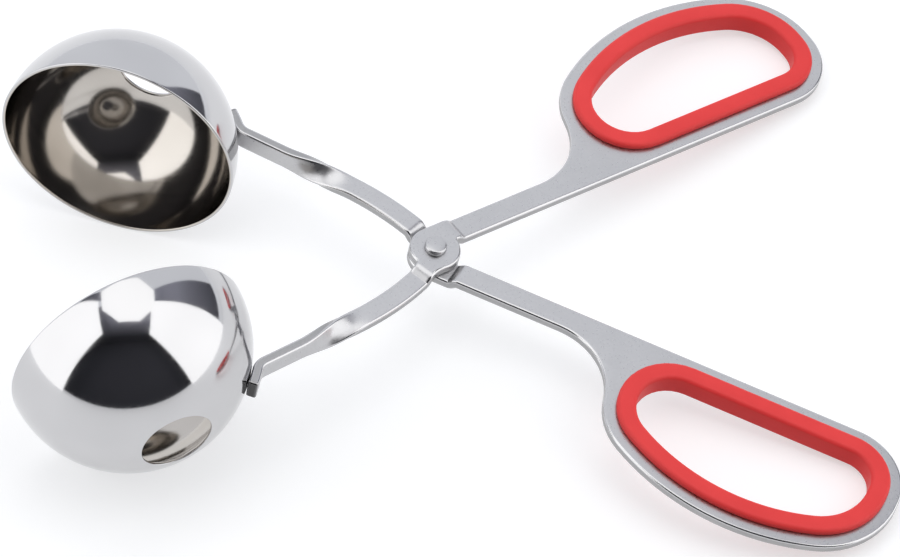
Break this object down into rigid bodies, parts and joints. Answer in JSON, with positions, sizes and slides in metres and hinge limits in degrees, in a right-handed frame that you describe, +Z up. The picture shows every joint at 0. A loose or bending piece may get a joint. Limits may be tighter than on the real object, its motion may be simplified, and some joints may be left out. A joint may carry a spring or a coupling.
{
  "type": "meatball tongs",
  "caption": "Scissor-action meatball tongs with riveted strip-steel arms, half-ball bowls with a hole at each pole, and soft grips lining the finger loops.",
  "frame": {"origin": "middle of the footprint, on the table that the open tongs lie on", "axes": "+X from the bowls to the handles, +Z up from the table, +Y to the right hand of the person who holds the handles"},
  "size_m": [0.169, 0.137, 0.048],
  "materials": {
    "satin_steel": "tumbled satin stainless steel",
    "polished_steel": "mirror-polished stainless steel",
    "red_rubber": "matte soft rubber"
  },
  "bodies": {
    "right": {"right_arm": "satin_steel", "right_bowl": "polished_steel", "right_grip": "red_rubber", "pivot_rivet": "satin_steel"},
    "left": {"left_arm": "satin_steel", "left_bowl": "polished_steel", "left_grip": "red_rubber"}
  },
  "joints": [
    {"name": "pivot", "type": "hinge", "parent": "right", "child": "left", "pos_m": [-0.00137, 0, 0.01487], "axis": [0.1486, 0, 0.9889], "range_deg": [-23, 42.6]}
  ]
}
